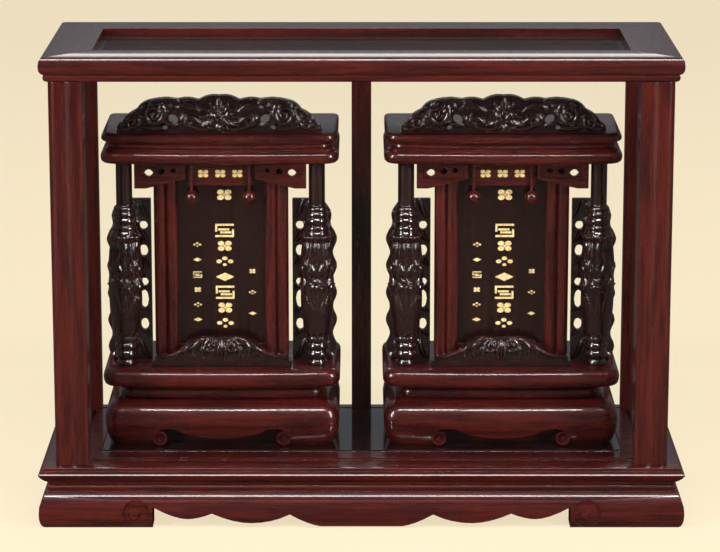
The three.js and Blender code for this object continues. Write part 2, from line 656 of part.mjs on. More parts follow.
// Pierced crest: lobed outline, a flower with petals in the middle, scrolls to both sides
function crest() {
  const lobes = [
    [1, 0.06], [0.94, 0.28], [0.8, 0.57], [0.68, 0.79], [0.4, 0.82], [0.2, 0.8],
  ];
  const right = lobes.map(([x, z]) => [x * CREST_HALF, z * CREST_HEIGHT]);
  const left = right.map(([x, z]) => [-x, z]).reverse();
  const outline = new THREE.Shape();
  outline.moveTo(-CREST_HALF, 0);
  outline.lineTo(CREST_HALF, 0);
  outline.lineTo(...right[0]);
  scallops(outline, right, 4);
  scallops(outline, [right.at(-1), [0, CREST_HEIGHT - 4], left[0]], 5);
  scallops(outline, left, 4);
  outline.closePath();
  for (const side of [-1, 1]) {
    const hole = new THREE.Path();
    const x = side * CREST_HALF * 0.44;
    hole.moveTo(x - 5, 22);
    hole.quadraticCurveTo(x, 27, x + 5, 23);
    hole.quadraticCurveTo(x + 3, 16, x, 14);
    hole.quadraticCurveTo(x - 2, 17, x - 5, 22);
    outline.holes.push(hole);
  }
  let body = solid(frontBoard(outline, 0, CREST_THICKNESS, 3));
  body = body.add(solid(block([-CREST_HALF, -3, 0], [CREST_HALF, CREST_THICKNESS + 3, 4.5])));
  const petals = 7;
  for (let k = 0; k < petals; k += 1) {
    const angle = Math.PI * (0.02 + (0.96 * k) / (petals - 1));
    const petal = new THREE.SphereGeometry(1, 8, 5);
    petal.scale(8, 6, 13);
    petal.rotateY(Math.PI / 2 - angle);
    petal.translate(17 * Math.cos(angle), -1, 20 + 12 * Math.sin(angle));
    body = body.add(solid(petal));
  }
  const heart = new THREE.SphereGeometry(1, 10, 6);
  heart.scale(11, 8, 9);
  heart.translate(0, -2, 19);
  body = body.add(solid(heart));
  for (const [x, z, radius] of [[0.33, 20, 9], [0.6, 24, 13], [0.82, 13, 9]]) {
    for (const side of [-1, 1]) {
      const curl = new THREE.CylinderGeometry(radius * 0.75, radius, 6, 12);
      curl.rotateX(Math.PI);
      curl.translate(side * x * CREST_HALF, -1, z);
      const dish = new THREE.CylinderGeometry(radius * 0.5, radius * 0.5, 4, 10);
      dish.translate(side * x * CREST_HALF, -4.5, z);
      body = body.add(solid(curl)).subtract(solid(dish));
    }
  }
  return geometryOf(body);
}

// Pierced side panel with a scalloped outer edge, drawn for the right side
function wing() {
  const inner = TABLET_HALF + WING_FRAME_GAP;
  const outer = COLUMN_X + WING_REACH;
  const lobes = 6;
  const shape = new THREE.Shape();
  const edge = [];
  for (let k = 0; k <= lobes; k += 1) {
    const share = k / lobes;
    const taper = share > 0.8 ? (share - 0.8) * 60 : 0;
    edge.push([outer - 4 - taper, 4 + share * (WING_HEIGHT - 8)]);
  }
  shape.moveTo(inner, 0);
  shape.lineTo(outer - 10, 0);
  shape.lineTo(...edge[0]);
  scallops(shape, edge, 4);
  shape.lineTo(inner + 4, WING_HEIGHT);
  shape.lineTo(inner, WING_HEIGHT - 10);
  shape.closePath();
  for (const [share, size] of [[0.223, 8], [0.379, 11], [0.68, 7]]) {
    const z = share * WING_HEIGHT;
    const hole = new THREE.Path();
    hole.moveTo(inner + 6, z - size);
    hole.quadraticCurveTo(inner + 14, z, inner + 6, z + size);
    hole.quadraticCurveTo(inner + 4, z, inner + 6, z - size);
    shape.holes.push(hole);
  }
  return frontBoard(shape, COLUMN_Y + WING_SETBACK, WING_THICKNESS, 3);
}

// Bracket under the cornice: frame with a sunk, pierced field and a curved lower edge
function bracket() {
  const inner = PENDANT_X + 7;
  const outer = COLUMN_X - 13;
  const top = CORNICE_Z - GAP;
  const shape = new THREE.Shape();
  shape.moveTo(inner, top);
  shape.lineTo(inner, top - HEADER_HEIGHT + 12);
  shape.quadraticCurveTo((inner + outer) / 2, top - HEADER_HEIGHT + 4, outer - 14, top - HEADER_HEIGHT);
  shape.lineTo(outer, top - HEADER_HEIGHT);
  shape.lineTo(outer, top);
  shape.closePath();
  for (const [share, drop, size] of [[0.25, 11, 4], [0.48, 12, 5], [0.72, 14, 6]]) {
    const x = inner + share * (outer - inner);
    const hole = new THREE.Path();
    hole.moveTo(x - size, top - drop);
    hole.quadraticCurveTo(x, top - drop + size * 1.6, x + size, top - drop);
    hole.quadraticCurveTo(x, top - drop - size * 1.6, x - size, top - drop);
    shape.holes.push(hole);
  }
  const y = HEADER_Y;
  const body = solid(frontBoard(shape, y, 10));
  const field = solid(block([inner + 5, y - 1, top - 20], [outer - 7, y + 2.5, top - 4]));
  return geometryOf(body.subtract(field));
}

// Plaque behind the stems of the pendants
function plaque() {
  const top = CORNICE_Z - GAP;
  const shape = rectangle(PENDANT_X + PLAQUE_REACH, top - HEADER_HEIGHT + 3, top);
  return frontBoard(shape, HEADER_Y + PLAQUE_SETBACK, 7);
}

// Turned drop: slim stem and a ball
function pendant() {
  const points = profile((path) => {
    path.moveTo(0, -PENDANT_DROP - PENDANT_RADIUS);
    path.absarc(0, -PENDANT_DROP, PENDANT_RADIUS, -Math.PI / 2, Math.PI / 2 - 0.25, false);
    path.lineTo(2, -PENDANT_DROP + PENDANT_RADIUS + 4);
    path.lineTo(2, -GAP);
    path.lineTo(0, -GAP);
  }, 5);
  const geometry = new THREE.LatheGeometry(points, 12);
  geometry.rotateX(Math.PI / 2);
  return geometryOf(solid(geometry));
}

// Step in front of the tablet with a carved skirt: a low arch between two volutes
function tabletFoot() {
  const back = FRAME_FRONT - REED_SWELL - GAP;
  const front = back - TABLET_STEP_DEPTH;
  const half = TABLET_HALF + WING_FRAME_GAP;
  const step = solid(block(
    [-half, front, DECK_TOP + GAP], [half, back, DECK_TOP + TABLET_STEP]));
  const z = DECK_TOP + TABLET_STEP - GAP;
  const at = (share) => z + share * SKIRT_HEIGHT;
  const across = (share) => share * TABLET_HALF;
  const skirt = new THREE.Shape();
  skirt.moveTo(-TABLET_HALF, z);
  skirt.lineTo(TABLET_HALF, z);
  skirt.lineTo(TABLET_HALF, at(0.16));
  skirt.quadraticCurveTo(across(0.58), at(0.25), across(0.5), at(0.75));
  skirt.quadraticCurveTo(across(0.27), at(1), 0, at(0.875));
  skirt.quadraticCurveTo(-across(0.27), at(1), -across(0.5), at(0.75));
  skirt.quadraticCurveTo(-across(0.58), at(0.25), -TABLET_HALF, at(0.16));
  skirt.closePath();
  const face = front + SKIRT_THICKNESS * 0.4;
  let body = step.add(solid(frontBoard(skirt, face, SKIRT_THICKNESS)));
  const curl = SKIRT_HEIGHT * 0.28;
  for (const side of [-1, 1]) {
    const volute = new THREE.CylinderGeometry(curl * 0.78, curl, curl * 0.55, 14);
    volute.rotateX(Math.PI);
    volute.translate(side * curl * 1.45, face - curl * 0.11, at(0.53));
    const well = new THREE.CylinderGeometry(curl * 0.45, curl * 0.45, curl * 0.33, 10);
    well.translate(side * curl * 1.45, face - curl * 0.33, at(0.53));
    body = body.add(solid(volute)).subtract(solid(well));
  }
  return geometryOf(body);
}

// Reeded frame with a groove that the face plate lifts in
function tabletFrame() {
  const bottom = DECK_TOP + GAP;
  const top = CORNICE_Z - GAP;
  const shape = rectangle(TABLET_HALF, bottom, top);
  const opening = rectangle(TABLET_OPENING_HALF, bottom + FRAME_BOTTOM_RAIL, top - FRAME_TOP_RAIL);
  shape.holes.push(opening);
  let body = solid(frontBoard(shape, FRAME_FRONT, FRAME_THICKNESS));
  const reedWidth = (TABLET_HALF - TABLET_OPENING_HALF) / 2;
  for (const side of [-1, 1]) {
    for (const place of [0.5, 1.5]) {
      const reed = new THREE.CylinderGeometry(
        reedWidth / 2, reedWidth / 2, top - bottom, 12, 1, false, 0, 2 * Math.PI);
      reed.rotateX(Math.PI / 2);
      reed.scale(1, (2 * REED_SWELL) / reedWidth, 1);
      reed.translate(
        side * (TABLET_OPENING_HALF + place * reedWidth), FRAME_FRONT, (top + bottom) / 2);
      body = body.add(solid(reed));
    }
  }
  const y = FRAME_FRONT + 5;
  const groove = block(
    [-TABLET_OPENING_HALF - PLATE_GROOVE, y - GAP, bottom + FRAME_BOTTOM_RAIL - PLATE_GROOVE],
    [TABLET_OPENING_HALF + PLATE_GROOVE, y + PLATE_THICKNESS + GAP,
      top - FRAME_TOP_RAIL + PLATE_GROOVE + PLATE_LIFT]);
  return geometryOf(body.subtract(solid(groove)));
}

function facePlate() {
  const bottom = DECK_TOP + GAP + FRAME_BOTTOM_RAIL - PLATE_GROOVE + GAP;
  const top = CORNICE_Z - GAP - FRAME_TOP_RAIL + PLATE_GROOVE - GAP;
  const y = FRAME_FRONT + 5;
  const half = TABLET_OPENING_HALF + PLATE_GROOVE - GAP;
  return block([-half, y, bottom], [half, y + PLATE_THICKNESS, top]);
}

// Box behind the plate, open to the front, that holds the name slips
function slipBox() {
  const bottom = DECK_TOP + GAP;
  const top = CORNICE_Z - GAP;
  const front = FRAME_BACK + GAP;
  const half = TABLET_OPENING_HALF + PLATE_GROOVE + SLIP_BOX_WALL;
  const shell = solid(block([-half, front, bottom], [half, front + SLIP_BOX_DEPTH, top]));
  const hollow = solid(block(
    [-half + SLIP_BOX_WALL, front - 1, bottom + FRAME_BOTTOM_RAIL],
    [half - SLIP_BOX_WALL, front + SLIP_BOX_DEPTH - SLIP_BOX_WALL, top - FRAME_TOP_RAIL]));
  return geometryOf(shell.subtract(hollow));
}

// Stack of thin name slips, each a little shorter than the one behind it
function nameSlips() {
  const bottom = DECK_TOP + FRAME_BOTTOM_RAIL + 2 * GAP;
  const top = CORNICE_Z - FRAME_TOP_RAIL - 3;
  const back = FRAME_BACK + SLIP_BOX_DEPTH - SLIP_BOX_WALL;
  const slip = (SLIP_BOX_DEPTH - SLIP_BOX_WALL - 4) / SLIP_COUNT;
  const half = TABLET_OPENING_HALF + PLATE_GROOVE - 2;
  let stack = null;
  for (let k = 0; k < SLIP_COUNT; k += 1) {
    const leaf = solid(block(
      [-half + k, back - (k + 1) * slip, bottom], [half - k, back - k * slip + 0.2, top - 2 * k]));
    stack = stack ? stack.add(leaf) : leaf;
  }
  const geometry = geometryOf(stack);
  geometry.translate(0, -GAP, 0);
  return geometry;
}

function mirrored(geometry) {
  const copy = geometry.clone();
  copy.scale(-1, 1, 1);
  return geometryOf(solid(flipFaces(copy)));
}

function flipFaces(geometry) {
  const flat = geometry.index ? geometry.toNonIndexed() : geometry;
  const place = flat.attributes.position;
  for (let k = 0; k < place.count; k += 3) {
    const a = new THREE.Vector3().fromBufferAttribute(place, k + 1);
    const b = new THREE.Vector3().fromBufferAttribute(place, k + 2);
    place.setXYZ(k + 1, b.x, b.y, b.z);
    place.setXYZ(k + 2, a.x, a.y, a.z);
  }
  return flat;
}

function buildShrine(prefix, centerX) {
  const put = (name, geometry, finish, x = 0, y = 0, z = 0) => {
    addMesh(`${prefix}_${name}`, geometry, finish).position.set(centerX + x, y, z);
  };
  put("shrine_plinth", shrinePlinth(), ROSEWOOD);
  put("waist", waistMoulding(), ROSEWOOD);
  put("deck", deckMoulding(), ROSEWOOD);
  put("cornice", corniceMoulding(), ROSEWOOD);
  put("crest", crest(), DARK_LACQUER, 0, SHRINE_FRONT + 8, CORNICE_TOP + GAP);
  put("column_l", carvedColumn(), DARK_LACQUER, -COLUMN_X, COLUMN_Y, DECK_TOP + GAP);
  put("column_r", carvedColumn(), DARK_LACQUER, COLUMN_X, COLUMN_Y, DECK_TOP + GAP);
  put("wing_r", wing(), DARK_LACQUER, 0, 0, DECK_TOP + GAP);
  put("wing_l", mirrored(wing()), DARK_LACQUER, 0, 0, DECK_TOP + GAP);
  put("bracket_r", bracket(), ROSEWOOD);
  put("bracket_l", mirrored(bracket()), ROSEWOOD);
  put("plaque", plaque(), ROSEWOOD);
  put("pendant_l", pendant(), ROSEWOOD, -PENDANT_X, HEADER_Y, CORNICE_Z);
  put("pendant_r", pendant(), ROSEWOOD, PENDANT_X, HEADER_Y, CORNICE_Z);
  put("tablet_foot", tabletFoot(), DARK_LACQUER);
  put("tablet_frame", tabletFrame(), DARK_LACQUER);
  put("face_plate", facePlate(), DARK_LACQUER);
  put("slip_box", slipBox(), DARK_LACQUER);
  put("name_slips", nameSlips(), PALE_WOOD);
}

buildPlinth();
buildBase();
buildPosts();
buildTop();
buildGlass();
buildShrine("left", -SHRINE_SPACING / 2);
buildShrine("right", SHRINE_SPACING / 2);

export default shrineCase;
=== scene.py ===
"""Looks of a glazed rosewood case that holds two carved ancestor shrines.

Every piece is in metres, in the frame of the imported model. Carved pieces are worked out in
millimetres as height fields, and placed by the box of the solid that they stand for.
"""

import json
import math

import bmesh
import bpy
import numpy as np
from mathutils import Matrix, Vector


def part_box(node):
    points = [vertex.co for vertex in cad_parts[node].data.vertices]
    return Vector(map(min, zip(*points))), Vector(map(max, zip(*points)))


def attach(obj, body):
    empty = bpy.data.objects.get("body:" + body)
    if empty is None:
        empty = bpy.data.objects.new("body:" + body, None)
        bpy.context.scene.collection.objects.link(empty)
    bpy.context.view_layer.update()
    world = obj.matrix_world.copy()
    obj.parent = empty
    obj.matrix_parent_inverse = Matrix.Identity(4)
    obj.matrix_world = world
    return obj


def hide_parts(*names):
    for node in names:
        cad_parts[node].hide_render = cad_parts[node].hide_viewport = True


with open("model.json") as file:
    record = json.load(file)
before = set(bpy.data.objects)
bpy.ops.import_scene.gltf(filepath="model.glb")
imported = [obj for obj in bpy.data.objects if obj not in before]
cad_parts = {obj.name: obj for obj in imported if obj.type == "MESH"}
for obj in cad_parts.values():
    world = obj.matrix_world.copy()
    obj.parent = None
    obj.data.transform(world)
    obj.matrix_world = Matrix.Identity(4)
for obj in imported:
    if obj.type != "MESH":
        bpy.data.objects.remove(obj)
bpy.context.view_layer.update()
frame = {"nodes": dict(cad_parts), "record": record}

MM = 0.001
SHRINES = ("left", "right")
SMOOTH_ANGLE = math.radians(38)
FLAT_ANGLE = math.radians(0.6)
CARVED_ANGLE = math.radians(60)
WELD_DISTANCE = 1e-6
EDGE_ROUND = 0.0005
PANE_EDGE = 0.0003

# Where carved faces and gold sit against the front of their solids
CREST_FACE = 0.0125
WING_FACE = 0.0005
SKIRT_FACE = 0.0035
SKIRT_FOOT = 0.008
GOLD_LIFT = 0.0001
GOLD_FRONT = 0.0003
GOLD_BACK = 0.0002

# Carving, in millimetres
RIM_ROUNDS = 4
SKIRT_HALF = 82.0
SKIRT_HEIGHT = 30.0
DRUM_RADIUS = 20.0
NECK_RADIUS = 10.0

# Camera, found from the photograph's perspective
CAMERA_PLACE = (-0.0018, -3.894, 1.17517)
CAMERA_PITCH = math.radians(12.925)
CAMERA_LENS = 160.06
CAMERA_SENSOR = 36.0

# Glass, studio and lamps
GLASS_RISE = 4.0
GLASS_HEAD_ON = 0.04
BACKGROUND = (1.0, 0.86, 0.61)
FLOOR_REACH = 12.0
FLOOR_DROP = 0.0002
FLOOR_FLATNESS = 0.8
LAMP_COLOUR = (1.0, 0.97, 0.95)
CASE_MIDDLE = Vector((0, 0, 0.3))


# Materials

def new_material(name):
    material = bpy.data.materials.new(name)
    material.use_nodes = True
    tree = material.node_tree
    tree.nodes.clear()
    return material, tree


def add_node(tree, kind, **values):
    node = tree.nodes.new(kind)
    for key, value in values.items():
        if key in node.inputs:
            node.inputs[key].default_value = value
        else:
            setattr(node, key, value)
    return node


def object_coordinates(tree, stretch):
    source = add_node(tree, "ShaderNodeTexCoord")
    mapping = add_node(tree, "ShaderNodeMapping", Scale=stretch)
    tree.links.new(source.outputs["Object"], mapping.inputs["Vector"])
    return mapping.outputs["Vector"]


def noise(tree, vector, scale, detail=4.0, rough=0.55, distortion=0.0):
    node = add_node(tree, "ShaderNodeTexNoise", Scale=scale, Detail=detail, Roughness=rough,
                    Distortion=distortion)
    tree.links.new(vector, node.inputs["Vector"])
    return node.outputs["Fac"]


def ramp(tree, factor, stops):
    node = add_node(tree, "ShaderNodeValToRGB")
    while len(node.color_ramp.elements) < len(stops):
        node.color_ramp.elements.new(0.5)
    for element, (position, colour) in zip(node.color_ramp.elements, stops):
        element.position = position
        element.color = (*colour, 1.0)
    tree.links.new(factor, node.inputs["Fac"])
    return node.outputs["Color"]


def show(tree, shader):
    """Ends the material with this shader."""
    output = add_node(tree, "ShaderNodeOutputMaterial")
    tree.links.new(shader, output.inputs["Surface"])


def mix_shaders(tree, factor, first, second):
    mix = add_node(tree, "ShaderNodeMixShader")
    tree.links.new(factor, mix.inputs["Fac"])
    tree.links.new(first, mix.inputs[1])
    tree.links.new(second, mix.inputs[2])
    return mix.outputs["Shader"]


def arithmetic(tree, operation, socket, number):
    """One step of arithmetic on a socket."""
    node = add_node(tree, "ShaderNodeMath", operation=operation)
    node.inputs[1].default_value = number
    tree.links.new(socket, node.inputs[0])
    return node.outputs["Value"]


def roughen(tree, bsdf, texture, strength, depth):
    """Fine unevenness of the surface."""
    bump = add_node(tree, "ShaderNodeBump", Strength=strength, Distance=depth)
    tree.links.new(texture, bump.inputs["Height"])
    tree.links.new(bump.outputs["Normal"], bsdf.inputs["Normal"])


def gray(low, high):
    """Ramp stops of a number that follows a noise."""
    return [(0.3, (low,) * 3), (0.7, (high,) * 3)]


def wood(name, stops, axis, roughness, coat, fine=1.0):
    """Lacquered wood whose grain runs along one axis of the object."""
    material, tree = new_material(name)
    across, along = 26.0 * fine, 1.6
    stretch = [along if k == axis else across for k in range(3)]
    grain = noise(tree, object_coordinates(tree, stretch), 5.0, 6.0, 0.6, 0.6)
    pore_across, pore_along = 90.0, 8.0
    pore_stretch = [pore_along if k == axis else pore_across for k in range(3)]
    pores = noise(tree, object_coordinates(tree, pore_stretch), 9.0)
    bsdf = add_node(tree, "ShaderNodeBsdfPrincipled")
    bsdf.inputs["Coat Weight"].default_value = coat
    bsdf.inputs["Coat Roughness"].default_value = 0.05
    bsdf.inputs["Specular IOR Level"].default_value = 0.2
    tree.links.new(ramp(tree, grain, stops), bsdf.inputs["Base Color"])
    tree.links.new(ramp(tree, pores, gray(roughness * 0.7, roughness * 1.4)),
                   bsdf.inputs["Roughness"])
    roughen(tree, bsdf, pores, 0.06, 0.0004)
    show(tree, bsdf.outputs["BSDF"])
    return material


def carved(name, stops):
    """Lacquer on carving with painted light: painted shade darkens the hollows, and a painted
    highlight makes the high points lighter and redder.
    """
    material, tree = new_material(name)
    geometry = add_node(tree, "ShaderNodeNewGeometry")
    spots = noise(tree, object_coordinates(tree, (1, 1, 1)), 160.0)
    # Pointiness mask: painted shade in the hollows, painted highlight on the high points
    high = ramp(tree, geometry.outputs["Pointiness"], [(0.46, (0, 0, 0)), (0.56, (1, 1, 1))])
    mix = add_node(tree, "ShaderNodeMixRGB", blend_type="MULTIPLY")
    mix.inputs["Fac"].default_value = 0.6
    tree.links.new(high, mix.inputs[1])
    tree.links.new(ramp(tree, spots, gray(0.45, 1.0)), mix.inputs[2])
    bsdf = add_node(tree, "ShaderNodeBsdfPrincipled")
    bsdf.inputs["Coat Weight"].default_value = 1.0
    bsdf.inputs["Coat Roughness"].default_value = 0.07
    tree.links.new(ramp(tree, mix.outputs["Color"], stops), bsdf.inputs["Base Color"])
    tree.links.new(ramp(tree, spots, gray(0.1, 0.26)), bsdf.inputs["Roughness"])
    roughen(tree, bsdf, spots, 0.06, 0.0003)
    show(tree, bsdf.outputs["BSDF"])
    return material


def gold_leaf():
    material, tree = new_material("gold_leaf")
    rub = noise(tree, object_coordinates(tree, (1, 1, 1)), 240.0)
    bsdf = add_node(tree, "ShaderNodeBsdfPrincipled", Metallic=0.55)
    tree.links.new(ramp(tree, rub, [(0.3, (0.72, 0.48, 0.16)), (0.6, (1.0, 0.82, 0.44))]),
                   bsdf.inputs["Base Color"])
    tree.links.new(ramp(tree, rub, gray(0.35, 0.6)), bsdf.inputs["Roughness"])
    show(tree, bsdf.outputs["BSDF"])
    return material


def pane_glass(name, tint, gloss):
    """Float glass: mostly clear, with a reflection that grows at a low angle."""
    material, tree = new_material(name)
    smears = noise(tree, object_coordinates(tree, (3, 3, 1)), 4.0)
    clear = add_node(tree, "ShaderNodeBsdfTransparent", Color=(*tint, 1.0))
    shine = add_node(tree, "ShaderNodeBsdfPrincipled", Metallic=0.0)
    shine.inputs["Base Color"].default_value = (0.02, 0.03, 0.028, 1.0)
    tree.links.new(ramp(tree, smears, gray(0.015, 0.06)), shine.inputs["Roughness"])
    weight = add_node(tree, "ShaderNodeLayerWeight", Blend=0.5)
    rise = arithmetic(tree, "POWER", weight.outputs["Facing"], GLASS_RISE)
    base = arithmetic(tree, "ADD", rise, GLASS_HEAD_ON)
    share = arithmetic(tree, "MULTIPLY", base, gloss)
    show(tree, mix_shaders(tree, share, clear.outputs["BSDF"], shine.outputs["BSDF"]))
    return material


# Colour stops of the finishes, from the darkest streak on; on the carving the darkest stop is
# painted shade and the lightest a painted highlight
ROSE = [
    (0.2, (0.010, 0.0020, 0.0018)), (0.45, (0.030, 0.0034, 0.0028)),
    (0.62, (0.058, 0.0055, 0.0036)), (0.85, (0.020, 0.0032, 0.0024)),
]
DARK = [
    (0.2, (0.004, 0.0016, 0.0015)), (0.5, (0.010, 0.003, 0.0026)),
    (0.8, (0.024, 0.0055, 0.004)),
]
# Carving stops: painted shade in the hollows up to a painted highlight on the high points, mixed
# with random tone
CARVED = [
    (0.0, (0.003, 0.0014, 0.0012)), (0.5, (0.014, 0.0035, 0.003)),
    (1.0, (0.055, 0.011, 0.007)),
]
PLAIN = [(0.3, (0.42, 0.26, 0.12)), (0.7, (0.58, 0.39, 0.20))]

rose_x = wood("rosewood_along_x", ROSE, 0, 0.3, 0.8)
rose_y = wood("rosewood_along_y", ROSE, 1, 0.3, 0.8)
rose_z = wood("rosewood_along_z", ROSE, 2, 0.3, 0.8)
dark_z = wood("dark_lacquer", DARK, 2, 0.2, 1.0, 1.6)
floor_wood = wood("floor_lacquer", DARK, 0, 0.12, 1.0)
# Carving lacquer with painted shade in its hollows and painted highlights on its high points
carved_dark = carved("carved_lacquer_painted_shade", CARVED)
plain_wood = wood("plain_wood", PLAIN, 2, 0.55, 0.0)
gold = gold_leaf()
clear_glass = pane_glass("clear_glass", (0.996, 1.0, 0.998), 0.12)
top_glass = pane_glass("top_glass", (0.96, 0.99, 0.97), 0.6)


# Pieces cloned from solids, with softened edges

def body_of(node):
    for body, nodes in frame["record"]["behaviour"]["bodies"].items():
        if node in nodes:
            return body
    raise KeyError(node)


def finish_piece(piece, material, body):
    piece.data.materials.clear()
    piece.data.materials.append(material)
    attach(piece, body)


def soften(node, material, edge=EDGE_ROUND):
    """Stands for a solid: the same faces with smooth curves and slightly rounded edges."""
    source = frame["nodes"][node]
    bm = bmesh.new()
    bm.from_mesh(source.data)
    bmesh.ops.remove_doubles(bm, verts=bm.verts, dist=WELD_DISTANCE)
    bmesh.ops.dissolve_limit(bm, angle_limit=FLAT_ANGLE, verts=bm.verts, edges=bm.edges)
    for face in bm.faces:
        face.smooth = True
    for item in bm.edges:
        if len(item.link_faces) == 2 and item.calc_face_angle(0.0) > SMOOTH_ANGLE:
            item.smooth = False
    mesh = bpy.data.meshes.new(node + "_dressed")
    bm.to_mesh(mesh)
    bm.free()
    piece = bpy.data.objects.new(node + "_dressed", mesh)
    bpy.context.collection.objects.link(piece)
    piece.matrix_world = source.matrix_world.copy()
    bevel = piece.modifiers.new("edges", "BEVEL")
    bevel.width = edge
    bevel.segments = 2
    bevel.limit_method = "ANGLE"
    bevel.angle_limit = SMOOTH_ANGLE
    bevel.harden_normals = True
    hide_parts(node)
    finish_piece(piece, material, body_of(node))


# Height fields for carving, in millimetres

def grid(x_low, x_high, z_low, z_high, step):
    xs = np.arange(x_low, x_high + step / 2, step)
    zs = np.arange(z_low, z_high + step / 2, step)
    return np.meshgrid(xs, zs, indexing="ij")


def bezier(points, count):
    """Points along a Bezier curve of any degree."""
    t = np.linspace(0, 1, count)[:, None]
    layer = [np.asarray(p, float)[None, :] * np.ones_like(t) for p in points]
    while len(layer) > 1:
        layer = [a * (1 - t) + b * t for a, b in zip(layer, layer[1:])]
    return layer[0]


def stroke(field, X, Z, points, width, height, groove=0.0, count=22):
    """A tapered leaf or stem: round in section, widest a third of the way along."""
    line = bezier(points, count)
    for k, (x, z) in enumerate(line):
        share = k / (count - 1)
        reach = width * (0.25 + 0.75 * math.sin(math.pi * min(1.0, share * 0.85 + 0.12)) ** 0.8) / 2
        near = (np.abs(X - x) < reach) & (np.abs(Z - z) < reach)
        d2 = ((X[near] - x) ** 2 + (Z[near] - z) ** 2) / reach ** 2
        lift = height * (0.55 + 0.45 * math.sin(math.pi * share)) * np.sqrt(np.clip(1 - d2, 0, 1))
        if groove:
            lift = lift * (1 - groove * np.exp(-d2 * 14))
        field[near] = np.maximum(field[near], np.where(d2 < 1, lift, field[near]))


def volute(field, X, Z, x, z, radius, hand, height, turns, start):
    """A spiral ridge that winds in to a round eye."""
    count = 44
    for k in range(count):
        share = k / (count - 1)
        angle = start + hand * share * turns * 2 * math.pi
        r = radius * (1 - 0.86 * share)
        px, pz = x + r * math.cos(angle), z + r * math.sin(angle)
        reach = radius * 0.36 * (1.0 - 0.45 * share)
        near = (np.abs(X - px) < reach) & (np.abs(Z - pz) < reach)
        d2 = ((X[near] - px) ** 2 + (Z[near] - pz) ** 2) / reach ** 2
        lift = height * (0.75 + 0.4 * share) * np.sqrt(np.clip(1 - d2, 0, 1))
        field[near] = np.maximum(field[near], lift)


def petal(field, X, Z, x, z, angle, length, width, height, vein=0.3):
    """A pointed petal: root at x, z, swelling towards its tip, with a sunk middle vein."""
    ca, sa = math.cos(angle), math.sin(angle)
    along = ((X - x) * ca + (Z - z) * sa) / length
    across = -(X - x) * sa + (Z - z) * ca
    half = width / 2 * np.clip(np.sin(np.pi * np.clip(along, 0, 1) ** 0.75), 0.02, 1)
    share = np.abs(across) / half
    inside = (along > 0) & (along < 1) & (share < 1)
    lift = height * (0.45 + 0.55 * along) * (1 - share ** 3 * 0.75)
    lift = lift * (1 - vein * np.exp(-(across / (0.16 * width)) ** 2))
    field[inside] = np.maximum(field[inside], lift[inside])


def rosette(field, X, Z, x, z, radius, height, petals):
    """A round flower: two rings of petals and a boss."""
    for ring, (reach, rise, count) in enumerate(((1.0, 0.75, petals), (0.62, 1.0, petals - 2))):
        for k in range(count):
            angle = 2 * math.pi * (k + 0.5 * ring) / count
            petal(field, X, Z, x, z, angle, radius * reach, radius * reach * 0.8, height * rise)
    d2 = ((X - x) ** 2 + (Z - z) ** 2) / (radius * 0.2) ** 2
    boss = d2 < 1
    field[boss] = np.maximum(field[boss], (height * 1.15 * np.sqrt(1 - d2[boss])))


def smooth_field(field, rounds=1):
    for _ in range(rounds):
        padded = np.pad(field, 1, mode="edge")
        field = (padded[:-2, 1:-1] + padded[2:, 1:-1] + padded[1:-1, :-2] + padded[1:-1, 2:]
                 + 4 * field) / 8
    return field


def relief_mesh(name, X, Z, field, mask, thickness):
    """Solid board whose front stands out by the field, cut to the mask. Front at y = 0."""
    cells = mask[:-1, :-1] & mask[1:, :-1] & mask[:-1, 1:] & mask[1:, 1:]
    used = np.zeros_like(mask)
    used[:-1, :-1] |= cells
    used[1:, :-1] |= cells
    used[:-1, 1:] |= cells
    used[1:, 1:] |= cells
    index = -np.ones(mask.shape, int)
    index[used] = np.arange(used.sum())
    count = int(used.sum())
    x, z, h = X[used].copy(), Z[used].copy(), field[used]
    ci, cj = np.nonzero(cells)
    corners = (index[ci, cj], index[ci + 1, cj], index[ci + 1, cj + 1], index[ci, cj + 1])
    quads = np.stack(corners, 1)
    edges = np.concatenate([quads[:, [k, (k + 1) % 4]] for k in range(4)])
    keys = {(int(a), int(b)) for a, b in edges}
    rim = np.array([(a, b) for a, b in keys if (b, a) not in keys])
    for _ in range(RIM_ROUNDS):
        total = np.zeros((count, 2))
        number = np.zeros(count)
        for a, b in ((rim[:, 0], rim[:, 1]), (rim[:, 1], rim[:, 0])):
            np.add.at(total, a, np.stack([x[b], z[b]], 1))
            np.add.at(number, a, 1)
        edge = number > 0
        x[edge] = 0.5 * x[edge] + 0.5 * total[edge, 0] / number[edge]
        z[edge] = 0.5 * z[edge] + 0.5 * total[edge, 1] / number[edge]
    front = np.stack([x, -h, z], 1)
    back = np.stack([x, np.full(count, float(thickness)), z], 1)
    points = np.concatenate([front, back]) * MM
    walls = np.stack([rim[:, 1], rim[:, 0], rim[:, 0] + count, rim[:, 1] + count], 1)
    faces = quads.tolist() + (quads[:, ::-1] + count).tolist() + walls.tolist()
    mesh = bpy.data.meshes.new(name)
    mesh.from_pydata(points.tolist(), [], faces)
    mesh.polygons.foreach_set("use_smooth", [True] * len(faces))
    mesh.update()
    mesh.set_sharp_from_angle(angle=CARVED_ANGLE)
    return mesh


def place(mesh, name, location):
    """An object of a shared mesh."""
    piece = bpy.data.objects.new(name, mesh)
    bpy.context.collection.objects.link(piece)
    piece.location = location
    return piece


def stand_for(mesh, name, location, node, material):
    """An object of a shared mesh that takes the place of one node."""
    piece = place(mesh, name, location)
    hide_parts(node)
    finish_piece(piece, material, body_of(node))


def inside_polygon(X, Z, corners):
    """Even-odd test of every grid point against a closed outline."""
    hit = np.zeros(X.shape, bool)
    for (x0, z0), (x1, z1) in zip(corners, np.roll(corners, -1, axis=0)):
        if z0 == z1:
            continue
        crossing = (Z > z0) != (Z > z1)
        hit ^= crossing & (X < x0 + (Z - z0) * (x1 - x0) / (z1 - z0))
    return hit


